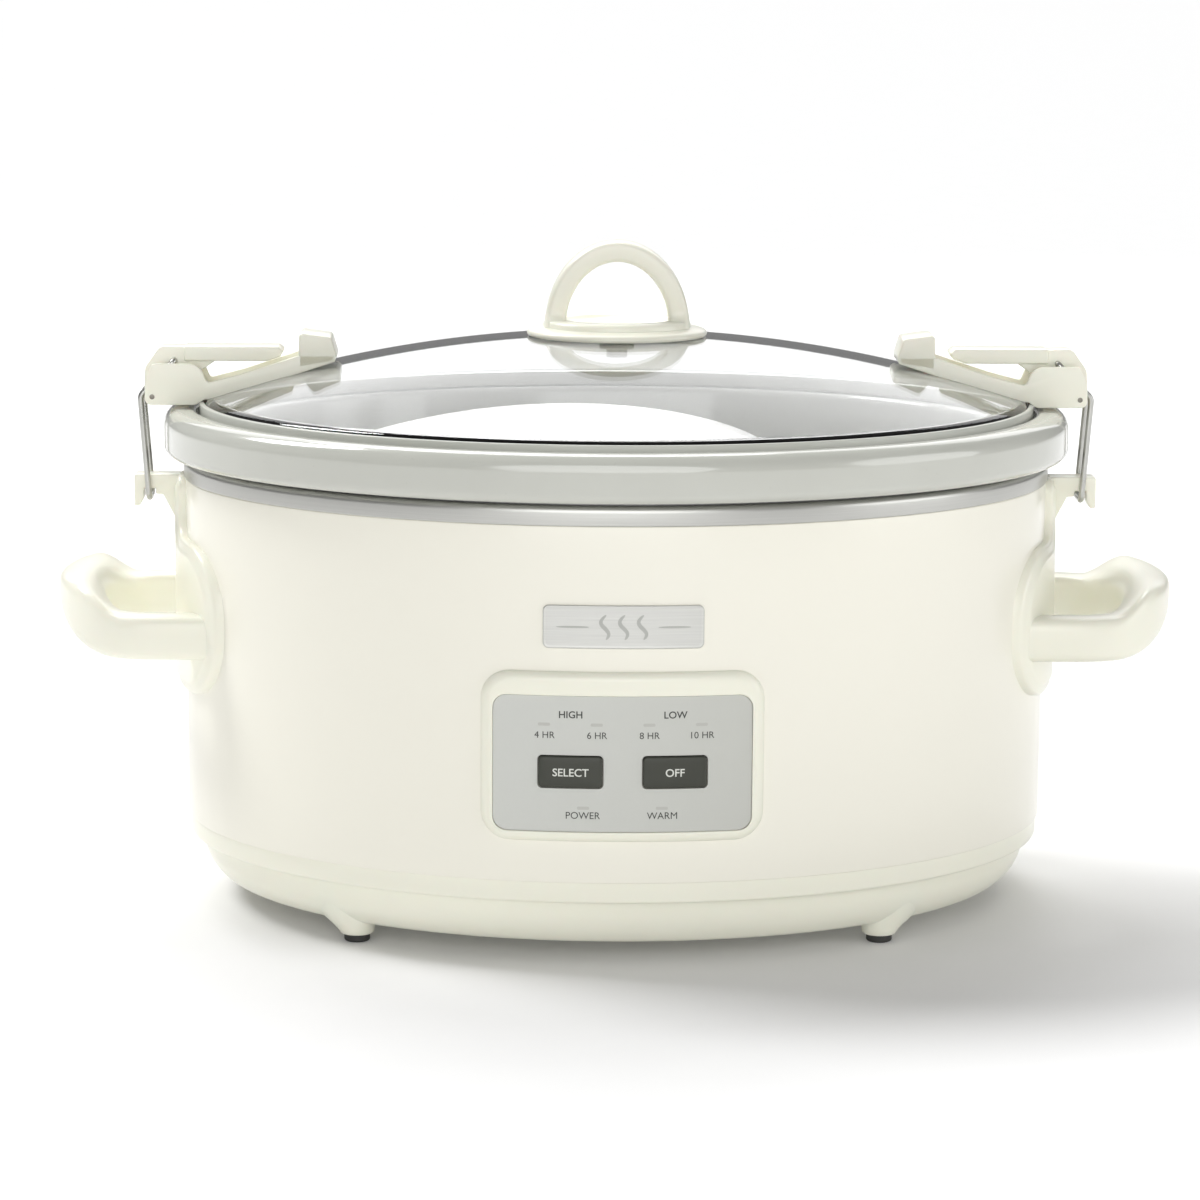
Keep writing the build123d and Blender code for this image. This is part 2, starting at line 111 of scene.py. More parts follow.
def box_loop(width, height, radius, x, z, depth=0.0):
    """A rounded rectangle moved inwards by depth, always with the same number of points."""
    w, h = width / 2 - depth, height / 2 - depth
    r = max(radius - depth, 0.02)
    out = []
    for turn, (cx, cz) in enumerate(((w - r, h - r), (r - w, h - r), (r - w, r - h), (w - r, r - h))):
        for k in range(9):
            a = math.pi / 2 * (turn + k / 8)
            out.append((x + cx + r * math.cos(a), z + cz + r * math.sin(a)))
        parts = (30, 6)[turn % 2]
        ahead = ((r - w, h), (-w, r - h), (w - r, -h), (w, h - r))[turn]
        start = (out[-1][0] - x, out[-1][1] - z)
        for k in range(1, parts):
            t = k / parts
            out.append((x + start[0] + (ahead[0] - start[0]) * t, z + start[1] + (ahead[1] - start[1]) * t))
    return out


def divided(points, longest):
    """The closed outline with long sides divided."""
    out = []
    for i, here in enumerate(points):
        ahead = points[(i + 1) % len(points)]
        parts = max(1, math.ceil(math.dist(here, ahead) / longest))
        out += [(here[0] + (ahead[0] - here[0]) * k / parts, here[1] + (ahead[1] - here[1]) * k / parts)
                for k in range(parts)]
    return out


def inset(points, distance):
    """The closed, counter-clockwise outline moved inwards."""
    out = []
    count = len(points)
    for i, here in enumerate(points):
        before, after = Vector(points[i - 1]), Vector(points[(i + 1) % count])
        along = (after - before).normalized()
        out.append((here[0] - along.y * distance, here[1] + along.x * distance))
    return out


def smooth(low, high, value):
    t = min(1.0, max(0.0, (value - low) / (high - low)))
    return t * t * (3 - 2 * t)


# ---- meshes ----
def make_object(name, verts, faces, material, bevel=0.0, shade_angle=40):
    """A piece from points in millimetres, with its faces turned outwards."""
    mesh = bpy.data.meshes.new(name)
    mesh.from_pydata([Vector(v) * MM for v in verts], [], faces)
    work = bmesh.new()
    work.from_mesh(mesh)
    bmesh.ops.remove_doubles(work, verts=work.verts, dist=1e-7)
    bmesh.ops.dissolve_degenerate(work, edges=work.edges, dist=1e-7)
    bmesh.ops.recalc_face_normals(work, faces=work.faces)
    work.to_mesh(mesh)
    work.free()
    piece = bpy.data.objects.new(name, mesh)
    bpy.context.scene.collection.objects.link(piece)
    mesh.materials.append(material)
    if bevel:
        cut = piece.modifiers.new("edges", "BEVEL")
        cut.width = bevel * MM
        cut.segments = 3
        cut.limit_method = "ANGLE"
        cut.angle_limit = math.radians(30)
        cut.harden_normals = False
        bake(piece)
    mesh = piece.data
    mesh.polygons.foreach_set("use_smooth", [True] * len(mesh.polygons))
    mesh.set_sharp_from_angle(angle=math.radians(shade_angle))
    return piece


def bake(piece):
    """Applies the piece's modifiers."""
    graph = bpy.context.evaluated_depsgraph_get()
    piece.data = bpy.data.meshes.new_from_object(piece.evaluated_get(graph))
    piece.modifiers.clear()


def join(name, pieces):
    """Several pieces as one object."""
    target = pieces[0]
    work = bmesh.new()
    for piece in pieces:
        work.from_mesh(piece.data)
    materials = list(target.data.materials)
    mesh = bpy.data.meshes.new(name)
    work.to_mesh(mesh)
    work.free()
    for material in materials:
        mesh.materials.append(material)
    for piece in pieces[1:]:
        bpy.data.objects.remove(piece)
    target.data = mesh
    target.name = name
    mesh.polygons.foreach_set("use_smooth", [True] * len(mesh.polygons))
    mesh.set_sharp_from_angle(angle=math.radians(40))
    return target


def grid_faces(rows, columns, wrap_rows=False, wrap_columns=True):
    faces = []
    for i in range(rows if wrap_rows else rows - 1):
        for j in range(columns if wrap_columns else columns - 1):
            a, b = i * columns + j, i * columns + (j + 1) % columns
            c, d = ((i + 1) % rows) * columns + (j + 1) % columns, ((i + 1) % rows) * columns + j
            faces.append((a, b, c, d))
    return faces


def turned(name, profile, material, ratio=RATIO, segments=240, closed=True, place=(0, 0, 0), shade_angle=40):
    """A profile of (radius, height) points carried round the oval."""
    verts = []
    for r, z in profile:
        for k in range(segments):
            a = 2 * math.pi * k / segments
            verts.append((place[0] + r * math.cos(a), place[1] + r * ratio * math.sin(a), place[2] + z))
    faces = grid_faces(len(profile), segments, wrap_rows=closed)
    return make_object(name, verts, faces, material, shade_angle=shade_angle)


def lofted(name, loops, material, cap_first=False, cap_last=False, close=False, bevel=0.0, shade_angle=40):
    """A skin over closed loops of the same number of points."""
    count = len(loops[0])
    verts = [v for loop in loops for v in loop]
    faces = grid_faces(len(loops), count, wrap_rows=close)
    if cap_first:
        faces.append(tuple(reversed(range(count))))
    if cap_last:
        faces.append(tuple(range((len(loops) - 1) * count, len(loops) * count)))
    return make_object(name, verts, faces, material, bevel=bevel, shade_angle=shade_angle)


def slice_of(name, outline, y0, y1, material, bevel=0.5, side=1):
    """An outline in (distance outboard, height), given thickness along Y."""
    loops = [[(side * x, y, z) for x, z in outline] for y in (y0, y1)]
    return lofted(name, loops, material, cap_first=True, cap_last=True, bevel=bevel)


def on_front(x, z, proud):
    """A point on the oval body's front."""
    a, b = BODY_A + proud, BODY_B + proud
    return (x, -b * math.sqrt(max(0.0, 1 - (x / a) ** 2)), z)


def on_side(y, z, proud, side):
    a, b = BODY_A + proud, BODY_B + proud
    return (side * a * math.sqrt(max(0.0, 1 - (y / b) ** 2)), y, z)


def wire(name, points, radius, material, rounds, ring=16, side=1):
    """Bent wire through the points, with arcs at the corners."""
    path = [Vector(points[0])]
    for i in range(1, len(points) - 1):
        before, here, after = (Vector(p) for p in points[i - 1:i + 2])
        back, ahead = (before - here).normalized(), (after - here).normalized()
        turn = back.angle(ahead)
        cut = rounds[i - 1] / math.tan(turn / 2)
        middle = (back + ahead).normalized()
        centre = here + middle * (rounds[i - 1] / math.sin(turn / 2))
        start, end = here + back * cut, here + ahead * cut
        for k in range(9):
            ray = (start - centre).lerp(end - centre, k / 8).normalized()
            path.append(centre + ray * rounds[i - 1])
    path.append(Vector(points[-1]))
    across = Vector((0.3, 1, 0.1)).normalized()
    loops = []
    for i, here in enumerate(path):
        along = (path[min(i + 1, len(path) - 1)] - path[max(i - 1, 0)]).normalized()
        across = (across - along * across.dot(along))
        if across.length < 1e-4:
            across = along.orthogonal()
        across.normalize()
        other = along.cross(across)
        loops.append([tuple(here + (across * math.cos(a) + other * math.sin(a)) * radius)
                      for a in (2 * math.pi * k / ring for k in range(ring))])
    loops = [[(side * x, y, z) for x, y, z in loop] for loop in loops]
    return lofted(name, loops, material, cap_first=True, cap_last=True, shade_angle=50)


# ---- shader maths ----
class Value:
    """A shader value. An expression on values adds its Math nodes."""

    def __init__(self, material, socket):
        self.material = material
        self.socket = socket

    def maths(self, operation, *others):
        return self.material.node("ShaderNodeMath", {"operation": operation}, self, *others)

    def __add__(self, other):
        return self.maths("ADD", other)

    __radd__ = __add__

    def __mul__(self, other):
        return self.maths("MULTIPLY", other)

    __rmul__ = __mul__

    def __sub__(self, other):
        return self.maths("SUBTRACT", other)

    def __rsub__(self, other):
        return self.material.node("ShaderNodeMath", {"operation": "SUBTRACT"}, other, self)

    def __truediv__(self, other):
        return self.maths("DIVIDE", other)


class Finish:
    """One node material, built round a Principled shader."""

    def __init__(self, name, **fixed):
        self.material = bpy.data.materials.new(name)
        self.material.use_nodes = True
        self.tree = self.material.node_tree
        self.shader = self.tree.nodes["Principled BSDF"]
        for socket, value in fixed.items():
            self.shader.inputs[socket.replace("_", " ")].default_value = value
        self.coordinates = self.tree.nodes.new("ShaderNodeTexCoord")

    def node(self, kind, settings=None, *inputs, out=0, **named):
        made = self.tree.nodes.new(kind)
        for key, value in (settings or {}).items():
            setattr(made, key, value)
        for key, value in list(enumerate(inputs)) + [(k.replace("_", " "), v) for k, v in named.items()]:
            if isinstance(value, Value):
                self.tree.links.new(value.socket, made.inputs[key])
            elif value is not None:
                made.inputs[key].default_value = value
        return Value(self, made.outputs[out])

    def place(self):
        return Value(self, self.coordinates.outputs["Object"])

    def axes(self):
        split = self.node("ShaderNodeSeparateXYZ", None, self.place())
        outputs = split.socket.node.outputs
        return [Value(self, outputs[i]) for i in range(3)]

    def vector(self, x, y, z):
        return self.node("ShaderNodeCombineXYZ", None, x, y, z)

    def noise(self, scale, detail=2.0, roughness=0.5, where=None, distortion=0.0):
        return self.node("ShaderNodeTexNoise", None, Vector=where or self.place(), Scale=scale,
                         Detail=detail, Roughness=roughness, Distortion=distortion)

    def mix(self, share, first, second):
        """A colour between two colours."""
        made = self.tree.nodes.new("ShaderNodeMix")
        made.data_type = "RGBA"
        for key, value in ((0, share), (6, first), (7, second)):
            if isinstance(value, Value):
                self.tree.links.new(value.socket, made.inputs[key])
            else:
                made.inputs[key].default_value = value
        return Value(self, made.outputs[2])

    def spread(self, value, low, high, new_low=0.0, new_high=1.0):
        """A value moved from one range to another, held inside it."""
        return self.node("ShaderNodeMapRange", {"clamp": True}, value, low, high, new_low, new_high)

    def gloss(self, scale, middle, swing, detail=2):
        """Roughness that drifts smoothly either side of its middle value."""
        return self.set(Roughness=self.noise(scale, detail) * (2 * swing) + (middle - swing))

    def set(self, **links):
        for socket, value in links.items():
            self.tree.links.new(value.socket, self.shader.inputs[socket.replace("_", " ")])
        return self

    def bump(self, height, strength, distance):
        normal = self.node("ShaderNodeBump", None, Strength=strength, Distance=distance * MM, Height=height)
        return self.set(Normal=normal)


CREAM = (0.872, 0.851, 0.752, 1)
CREAM_SHADE = (0.862, 0.842, 0.742, 1)


def enamel():
    """Cream enamel on steel: glossy, with a faint orange-peel."""
    f = Finish("cream_enamel", Coat_Weight=0.35, Coat_Roughness=0.12, IOR=1.5)
    cloud = f.noise(9, 3)
    peel = f.noise(420, 2)
    f.set(Base_Color=f.mix(cloud, CREAM_SHADE, CREAM))
    f.gloss(12, 0.30, 0.03)
    f.bump(peel, 0.08, 0.03)
    return f.material


def moulding():
    """Cream moulded plastic: satin, with a fine spark grain."""
    f = Finish("cream_moulding", Coat_Weight=0.25, Coat_Roughness=0.18, IOR=1.47,
               Subsurface_Weight=0.05, Subsurface_Scale=0.004)
    f.set(Base_Color=f.mix(f.noise(14, 3), (0.852, 0.842, 0.722, 1), (0.864, 0.855, 0.738, 1)))
    f.gloss(16, 0.31, 0.03)
    grain = f.noise(1500, 2) * 0.6 + f.noise(500, 2) * 0.4
    f.bump(grain, 0.07, 0.03)
    return f.material


def brushed(name, tone, rough, across_lines=9000, metallic=1.0, round_body=True):
    """Steel with brush lines that run round the oval, or along X."""
    f = Finish(name, Metallic=metallic)
    x, y, z = f.axes()
    turn = (y / RATIO).maths("ARCTAN2", x) if round_body else x * 20
    lines = f.noise(1, 3, 0.6, where=f.vector(turn * 6, z * across_lines, y * 0))
    wide = f.noise(1, 2, 0.5, where=f.vector(turn * 2, z * across_lines * 0.2, y * 0))
    blend = lines * 0.65 + wide * 0.35
    dark = tuple(c * 0.84 for c in tone[:3]) + (1,)
    f.set(Base_Color=f.mix(f.spread(blend, 0.3, 0.7), dark, tone))
    f.set(Roughness=f.spread(blend, 0.3, 0.7, rough - 0.06, rough + 0.08))
    f.bump(lines, 0.12, 0.03)
    return f.material


def glaze():
    """Pale grey-green glaze: pooled colour, faint pinholes and a wet gloss."""
    f = Finish("stoneware_glaze", Coat_Weight=0.8, Coat_Roughness=0.05, IOR=1.52)
    pool = f.spread(f.noise(11, 4, 0.6), 0.3, 0.7)
    fleck = f.spread(f.noise(700, 2), 0.70, 0.78)
    base = f.mix(pool, (0.515, 0.52, 0.472, 1), (0.552, 0.56, 0.51, 1))
    f.set(Base_Color=f.mix(fleck * 0.35, base, (0.42, 0.42, 0.37, 1)))
    f.gloss(20, 0.15, 0.05)
    f.bump(f.noise(35, 2) * 0.8 + f.noise(260, 2) * 0.2, 0.10, 0.25)
    return f.material


def clear_glass():
    """Tempered glass, with faint smears in its gloss."""
    f = Finish("lid_glass", Transmission_Weight=1.0, IOR=1.5, Base_Color=(0.985, 0.992, 0.992, 1))
    f.set(Roughness=f.spread(f.noise(16, 4, 0.6), 0.45, 0.75, 0.0, 0.035))
    return f.material


def silicone():
    f = Finish("gasket_silicone", IOR=1.43, Coat_Weight=0.3, Coat_Roughness=0.2)
    f.set(Base_Color=f.mix(f.noise(40, 3), (0.50, 0.51, 0.465, 1), (0.56, 0.57, 0.525, 1)))
    f.gloss(200, 0.35, 0.08)
    f.bump(f.noise(900, 2), 0.08, 0.03)
    return f.material


def film():
    """The grey printed film of the control panel, with a fine matt texture, and painted light: lighter at the left,
    darker at the right.
    """
    f = Finish("control_film", IOR=1.5, Coat_Weight=0.15, Coat_Roughness=0.3)
    x, _, _ = f.axes()
    # Painted light: the film's grey runs from lighter at the left to darker at the right, as if lit from the left.
    light = f.spread(x, -0.05, 0.05)
    base = f.mix(light, (0.60, 0.61, 0.575, 1), (0.535, 0.54, 0.50, 1))
    f.set(Base_Color=f.mix(f.noise(900, 2) * 0.12, base, (0.45, 0.455, 0.42, 1)))
    f.gloss(300, 0.39, 0.06)
    f.bump(f.noise(2600, 2), 0.10, 0.02)
    return f.material


def plain_gloss(name, tone, shade, rough, grain=900, coat=0.2, lift=0.05):
    """A small moulded or printed part: two close tones, varied gloss and a fine grain."""
    f = Finish(name, Coat_Weight=coat, Coat_Roughness=0.2, IOR=1.48)
    f.set(Base_Color=f.mix(f.noise(60, 3), shade, tone))
    f.gloss(180, rough, lift)
    f.bump(f.noise(grain, 2), 0.1, 0.03)
    return f.material


def board_finish():
    """Green varnish with paler tracks."""
    f = Finish("circuit_board", Coat_Weight=0.5, Coat_Roughness=0.2)
    tracks = f.node("ShaderNodeTexBrick", {"offset": 0.5}, Vector=f.place(), Scale=220, Mortar_Size=0.03,
                    Color1=(0.02, 0.16, 0.07, 1), Color2=(0.03, 0.19, 0.08, 1), Mortar=(0.20, 0.36, 0.16, 1))
    f.set(Base_Color=f.mix(f.noise(50, 2) * 0.3, tracks, (0.02, 0.12, 0.05, 1)))
    f.gloss(300, 0.4, 0.1)
    return f.material


enamel_finish = enamel()
moulding_finish = moulding()
steel_finish = brushed("brushed_steel_band", (0.55, 0.55, 0.525, 1), 0.34)
badge_finish = brushed("satin_badge", (0.66, 0.66, 0.63, 1), 0.42, across_lines=5000, metallic=0.5)
wire_finish = brushed("drawn_wire", (0.56, 0.56, 0.53, 1), 0.30, across_lines=90, round_body=False)
pin_finish = brushed("turned_pin", (0.22, 0.21, 0.18, 1), 0.34, across_lines=6000, round_body=False)
# Painted shade: the well's metal is given a dark grey, darker than bare aluminium, so that the gap between the
# crock and the steel band reads as a dark shadow line.
gap_shade_well_finish = brushed("well_aluminium_painted_gap_shade", (0.30, 0.30, 0.30, 1), 0.45, across_lines=2500)
glaze_finish = glaze()
glass_finish = clear_glass()
gasket_finish = silicone()
film_finish = film()
button_finish = plain_gloss("button_plastic", (0.040, 0.042, 0.030, 1), (0.031, 0.033, 0.023, 1), 0.45, coat=0.05)
ink_finish = plain_gloss("dark_ink", (0.040, 0.042, 0.036, 1), (0.055, 0.056, 0.05, 1), 0.5, coat=0)
pale_ink_finish = plain_gloss("pale_ink", (0.70, 0.71, 0.66, 1), (0.64, 0.65, 0.60, 1), 0.5, coat=0)
window_finish = plain_gloss("window_plastic", (0.50, 0.50, 0.465, 1), (0.47, 0.47, 0.435, 1), 0.3)
motif_finish = plain_gloss("badge_motif", (0.46, 0.465, 0.435, 1), (0.42, 0.425, 0.40, 1), 0.5, coat=0)
rubber_finish = plain_gloss("foot_rubber", (0.045, 0.045, 0.042, 1), (0.03, 0.03, 0.028, 1), 0.62, coat=0)
dark_finish = plain_gloss("dark_moulding", (0.05, 0.05, 0.05, 1), (0.035, 0.035, 0.035, 1), 0.45)
circuit_finish = board_finish()


# ---- hooking pieces to the frame ----
def fit(piece, body, slot, *nodes):
    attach(piece, body)
    if nodes:
        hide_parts(*nodes)
    return piece


def repaint(node, finish):
    piece = frame["nodes"][node]
    piece.data.materials.clear()
    piece.data.materials.append(finish)


# ---- body ----
def make_shell():
    a, low, high, wall = BODY_A, shell_box.z0, shell_box.z1, 1.2
    outline = [(a, low), (a, high), (a - 9, high), (a - 9, high - wall), (a - wall, high - wall), (a - wall, low)]
    profile = rounded(outline, {0: 0.5, 1: 0.8}, 4)
    shell = turned("shell", divided(profile, 20), enamel_finish, segments=320)
    fit(shell, "base", "painted_shell", "outer_shell")


def make_rim_band():
    box = Span("steel_rim")
    a, low, high = box.x1, box.z0, box.z1
    outline = [(a, low), (a, high), (a - 9.8, high), (a - 9.8, high - 1.2), (a - 1.2, high - 1.2), (a - 1.2, low)]
    band = turned("rim_band", rounded(outline, {0: 0.3, 1: 2.6, 4: 1.4}, 8), steel_finish, segments=320)
    fit(band, "base", "steel_band", "steel_rim")


BOSS_TIP, BOSS_LOW, BOSS_FLARE, BOSS_OUTBOARD, BOSS_SINK = 6.7, 3.7, 1.4, 6.5, 0.5


def foot_boss(x, y, pan_profile):
    """The post that holds one foot. It spreads outboard where it runs into the pan."""
    def underside(at_x, at_y):
        r = math.hypot(at_x, at_y / RATIO)
        for (r0, z0), (r1, z1) in zip(pan_profile, pan_profile[1:]):
            if r0 <= r <= r1:
                return z0 + (z1 - z0) * (r - r0) / max(r1 - r0, 1e-6)
        return pan_profile[0][1]

    ring = [(math.cos(a), math.sin(a)) for a in (math.pi * k / 24 for k in range(48))]
    loops = [[(x + r * c, y + r * s, z) for c, s in ring]
             for r, z in ((4, BOSS_LOW - 0.5), (BOSS_TIP - 0.5, BOSS_LOW - 0.5), (BOSS_TIP, BOSS_LOW))]
    for share in (0.25, 0.5, 0.7, 0.85, 1.0, 1.1):
        loop = []
        for c, s in ring:
            outboard = max(0.0, c * math.copysign(1, x)) ** 2
            reach = BOSS_TIP + (BOSS_FLARE + BOSS_OUTBOARD * outboard) * share ** 1.5
            at_x, at_y = x + reach * c, y + reach * s
            loop.append((at_x, at_y, BOSS_LOW + (underside(at_x, at_y) + BOSS_SINK - BOSS_LOW) * share))
        loops.append(loop)
    return lofted("boss", loops, moulding_finish, cap_first=True, cap_last=True, shade_angle=60)


def make_base():
    box = Span("base_pan")
    foot = Span("front_right_foot")
    a = BODY_A
    seam = shell_box.z0 - 0.2
    step, low = seam - 8.2, 8.0 * seam / 33.2
    outline = [
        (0, low), (a - 22, low), (a - 15, low), (a - 7.4, low + 7.2), (a - 5.7, step), (a - 1, step + 0.6),
        (a - 1, seam), (a - 1.8, box.z1), (a - 5.2, box.z1), (a - 5.2, step), (a - 8.2, step),
        (a - 10.4, low + 8), (a - 18, low + 2.5), (0, low + 2.5)]
    profile = rounded(outline, {2: 9, 3: 18, 4: 0.7, 5: 1.2, 6: 0.4}, 8)
    pan = turned("pan", profile, moulding_finish, segments=320, closed=False)
    parts = [pan]
    for x in (-foot.x, foot.x):
        for y in (-foot.y, foot.y):
            parts.append(foot_boss(x, y, profile))
    fit(join("base_pan_shape", parts), "base", "cream_plastic", "base_pan")


def make_feet():
    for name in ("front_left", "front_right", "rear_left", "rear_right"):
        box = Span(name + "_foot")
        profile = rounded([(0, 0), (5, 0), (5, 5.8), (0, 5.8)], {1: 1.0}, 5)
        grooved = turned(name + "_pad", profile, rubber_finish, ratio=1, segments=40, closed=False,
                         place=(box.x, box.y, 0))
        fit(grooved, "base", "foot_rubber", name + "_foot")


def front_loops(width, height, radius, x, z, steps):
    """Loops on the front at each (inset, height proud of the body)."""
    return [[on_front(at_x, at_z, proud) for at_x, at_z in box_loop(width, height, radius, x, z, depth)]
            for depth, proud in steps]


def make_panel():
    box, film_box = Span("panel_bezel"), Span("control_overlay")
    side = (box.width - film_box.width) / 2 - 0.15
    top = (box.z1 - film_box.z1) - 0.15
    low = (film_box.z0 - box.z0) - 0.15
    outer = [(0, 0.0), (0, 0.35), (0.3, 1.1), (0.9, 1.8), (1.8, 2.4), (2.8, 2.75), (3.4, 2.8)]
    loops = front_loops(box.width, box.height, 11, box.x, box.z, outer)
    width, height = box.width - 2 * side, box.height - top - low
    middle = (box.z0 + low + box.z1 - top) / 2
    inner = [(-0.3, 2.8), (-0.08, 2.7), (0, 2.5), (0, 0.0)]
    loops += front_loops(width, height, 5.2, box.x, middle, inner)
    bezel = lofted("panel_surround", loops, moulding_finish, close=True, shade_angle=50)
    fit(bezel, "base", "cream_plastic", "panel_bezel")
    for node, finish in (("control_overlay", film_finish), ("indicator_windows", window_finish)):
        repaint(node, finish)


def make_button(node, piece_name):
    box = Span(node)
    steps = [(0, -1.5), (0, 2.4), (0.15, 2.7), (0.4, 2.9), (0.8, 3.0), (3, 3.0), (box.height / 2 - 0.3, 3.0)]
    loops = front_loops(box.width, box.height, 1.7, box.x, box.z, steps)
    cap = lofted(piece_name, loops, button_finish, cap_first=True, cap_last=True, shade_angle=50)
    fit(cap, node, "button_plastic", node)


def make_badge():
    box = Span("badge_plate")
    steps = [(0, 0.0), (0, 0.7), (0.25, 0.95), (0.6, 1.0), (0.9, 0.86), (1.2, 0.86), (4, 0.86),
             (box.height / 2 - 0.3, 0.86)]
    loops = front_loops(box.width, box.height, 2.2, box.x, box.z, steps)
    plate = lofted("badge", loops, badge_finish, cap_first=True, cap_last=True, shade_angle=50)
    fit(plate, "base", "steel_badge", "badge_plate")
    parts = []
    for k, x in enumerate((-7, 0, 7)):
        wave = []
        for step in range(17):
            t = step / 16
            wave.append((x + 1.5 * math.sin(t * 2 * math.pi + 0.3), box.z - 4.6 + 9.2 * t))
        parts.append(ribbon(f"steam_{k}", wave, 0.75, 0.86))
    for k, side in enumerate((-1, 1)):
        bar = [(side * (13 + 1.0 * s), box.z) for s in range(13)]
        parts.append(ribbon(f"bar_{k}", bar, 0.4, 0.86))
    fit(join("badge_motif_shape", parts), "base", "steel_badge")


def ribbon(name, line, half, proud):
    """A flat raised line on the front that tapers at its ends."""
    left, right = [], []
    for i, here in enumerate(line):
        before, after = Vector(line[max(i - 1, 0)]), Vector(line[min(i + 1, len(line) - 1)])
        along = (after - before).normalized()
        share = i / (len(line) - 1)
        width = half * (0.25 + 0.75 * math.sin(math.pi * share) ** 0.5)
        left.append((here[0] - along.y * width, here[1] + along.x * width))
        right.append((here[0] + along.y * width, here[1] - along.x * width))
    loops = []
    for depth in (-0.3, 0.08):
        ring = left + list(reversed(right))
        loops.append([on_front(x, z, proud + depth) for x, z in ring])
    count = len(line)
    verts = loops[0] + loops[1]
    total = 2 * count
    faces = grid_faces(2, total)
    for i in range(count - 1):
        for base in (0, total):
            faces.append((base + i, base + i + 1, base + total - 2 - i, base + total - 1 - i))
    return make_object(name, verts, faces, motif_finish)


def label(name, words, x, z, height, body, proud, finish, slot_name, weight=0.0):
    """Printed words on the front, centred at x, z."""
    curve = bpy.data.curves.new(name, "FONT")
    curve.body = words
    curve.size = height / 0.72
    curve.align_x = "CENTER"
    curve.extrude = 0.03
    curve.offset = weight
    curve.resolution_u = 4
    holder = bpy.data.objects.new(name, curve)
    bpy.context.scene.collection.objects.link(holder)
    graph = bpy.context.evaluated_depsgraph_get()
    mesh = bpy.data.meshes.new_from_object(holder.evaluated_get(graph))
    bpy.data.objects.remove(holder)
    for v in mesh.vertices:
        v.co = Vector(on_front(x + v.co.x, z - height / 2 + v.co.y, proud + v.co.z)) * MM
    mesh.materials.clear()
    mesh.materials.append(finish)
    piece = bpy.data.objects.new(name, mesh)
    bpy.context.scene.collection.objects.link(piece)
    return fit(piece, body, slot_name)


def make_labels():
    film_box, select, off = Span("control_overlay"), Span("select_button"), Span("off_button")
    top, proud = film_box.z1, 2.22
    spots = [("high", "HIGH", -19.5, 6.9, 2.7, 0.05), ("low", "LOW", 19.5, 6.9, 2.7, 0.05)]
    spots += [(f"hours_{n}", f"{n} HR", x, 14.7, 2.6, 0.0)
              for n, x in ((4, -29.2), (6, -9.7), (8, 9.9), (10, 29.4))]
    spots += [("power", "POWER", -14.9, 45.2, 2.7, 0.0), ("warm", "WARM", 14.9, 45.2, 2.7, 0.0)]
    for name, words, x, down, height, weight in spots:
        label("label_" + name, words, x, top - down, height, "base", proud, ink_finish, "overlay_film", weight)
    label("label_select", "SELECT", select.x, select.z, 3.0, "select_button", 3.02, pale_ink_finish,
          "button_plastic", 0.05)
    label("label_off", "OFF", off.x, off.z, 3.0, "off_button", 3.02, pale_ink_finish, "button_plastic", 0.05)


# ---- brackets and carry handles ----
def bracket_outline(box):
    """The escutcheon with the strip that rises from its middle, counter-clockwise seen from outboard."""
    half, low = box.y1, box.z0
    top = low + 59.0
    strip = 12.0
    points = [(-half, low), (half, low), (half, top), (strip, top + 0.5), (strip, box.z1), (-strip, box.z1),
              (-strip, top + 0.5), (-half, top)]
    return divided(rounded(points, {0: 25, 1: 25, 2: 25, 3: 14, 4: 6, 5: 6, 6: 14, 7: 25}, 12), 2.5)


def make_bracket(name, side):
    box = Span(name + "_bracket")
    outline = bracket_outline(box)
    steps = [(0, 0.0), (0, 2.2), (0.5, 3.0), (1.2, 3.4), (3.2, 3.7), (3.8, 4.1), (4.4, 4.4), (5.2, 4.5)]
    loops = [[on_side(y, z, proud, side) for y, z in inset(outline, depth)] for depth, proud in steps]
    count = len(outline)
    verts = [v for loop in loops for v in loop]
    faces = grid_faces(len(loops), count)
    last = (len(loops) - 1) * count
    faces.append(tuple(range(last, last + count)))
    plate = make_object(name + "_plate", verts, faces, moulding_finish)
    fill_curved(plate)
    hook_low = box.z1 - 12.5
    top, outer = box.z1, box.x1 if side > 0 else -box.x0
    hook = [(outer - 22, top), (outer, top), (outer, hook_low), (outer - 2.2, hook_low),
            (outer - 3.8, hook_low + 3.1), (outer - 3.8, hook_low + 6.9), (outer - 8.6, hook_low + 6.9),
            (outer - 8.6, hook_low + 4.7), (outer - 11.5, hook_low + 4.5), (outer - 16.5, hook_low - 5.3),
            (outer - 22, hook_low - 5.3)]
    tab = slice_of(name + "_tab", rounded(hook, {1: 1.0, 2: 0.6, 8: 0.8}, 4), -5, 5, moulding_finish, 0.5, side)
    fit(join(name + "_bracket_shape", [plate, tab]), "base", "cream_plastic", name + "_bracket")


def fill_curved(piece):
    """Cuts the big face upright, so that it can follow the oval."""
    work = bmesh.new()
    work.from_mesh(piece.data)
    face = max(work.faces, key=lambda f: len(f.verts))
    edge_y = sorted(v.co.y for v in face.verts)
    low, high = edge_y[0], edge_y[-1]
    count = 48
    for k in range(1, count):
        y = low + (high - low) * k / count
        big = [f for f in work.faces if len(f.verts) > 4 or f.is_valid and f.calc_area() > 2e-5]
        edges = {e for f in big for e in f.edges}
        verts = {v for f in big for v in f.verts}
        bmesh.ops.bisect_plane(work, geom=list(verts) + list(edges) + big, dist=1e-7,
                               plane_co=(0, y, 0), plane_no=(0, 1, 0))
    work.to_mesh(piece.data)
    work.free()


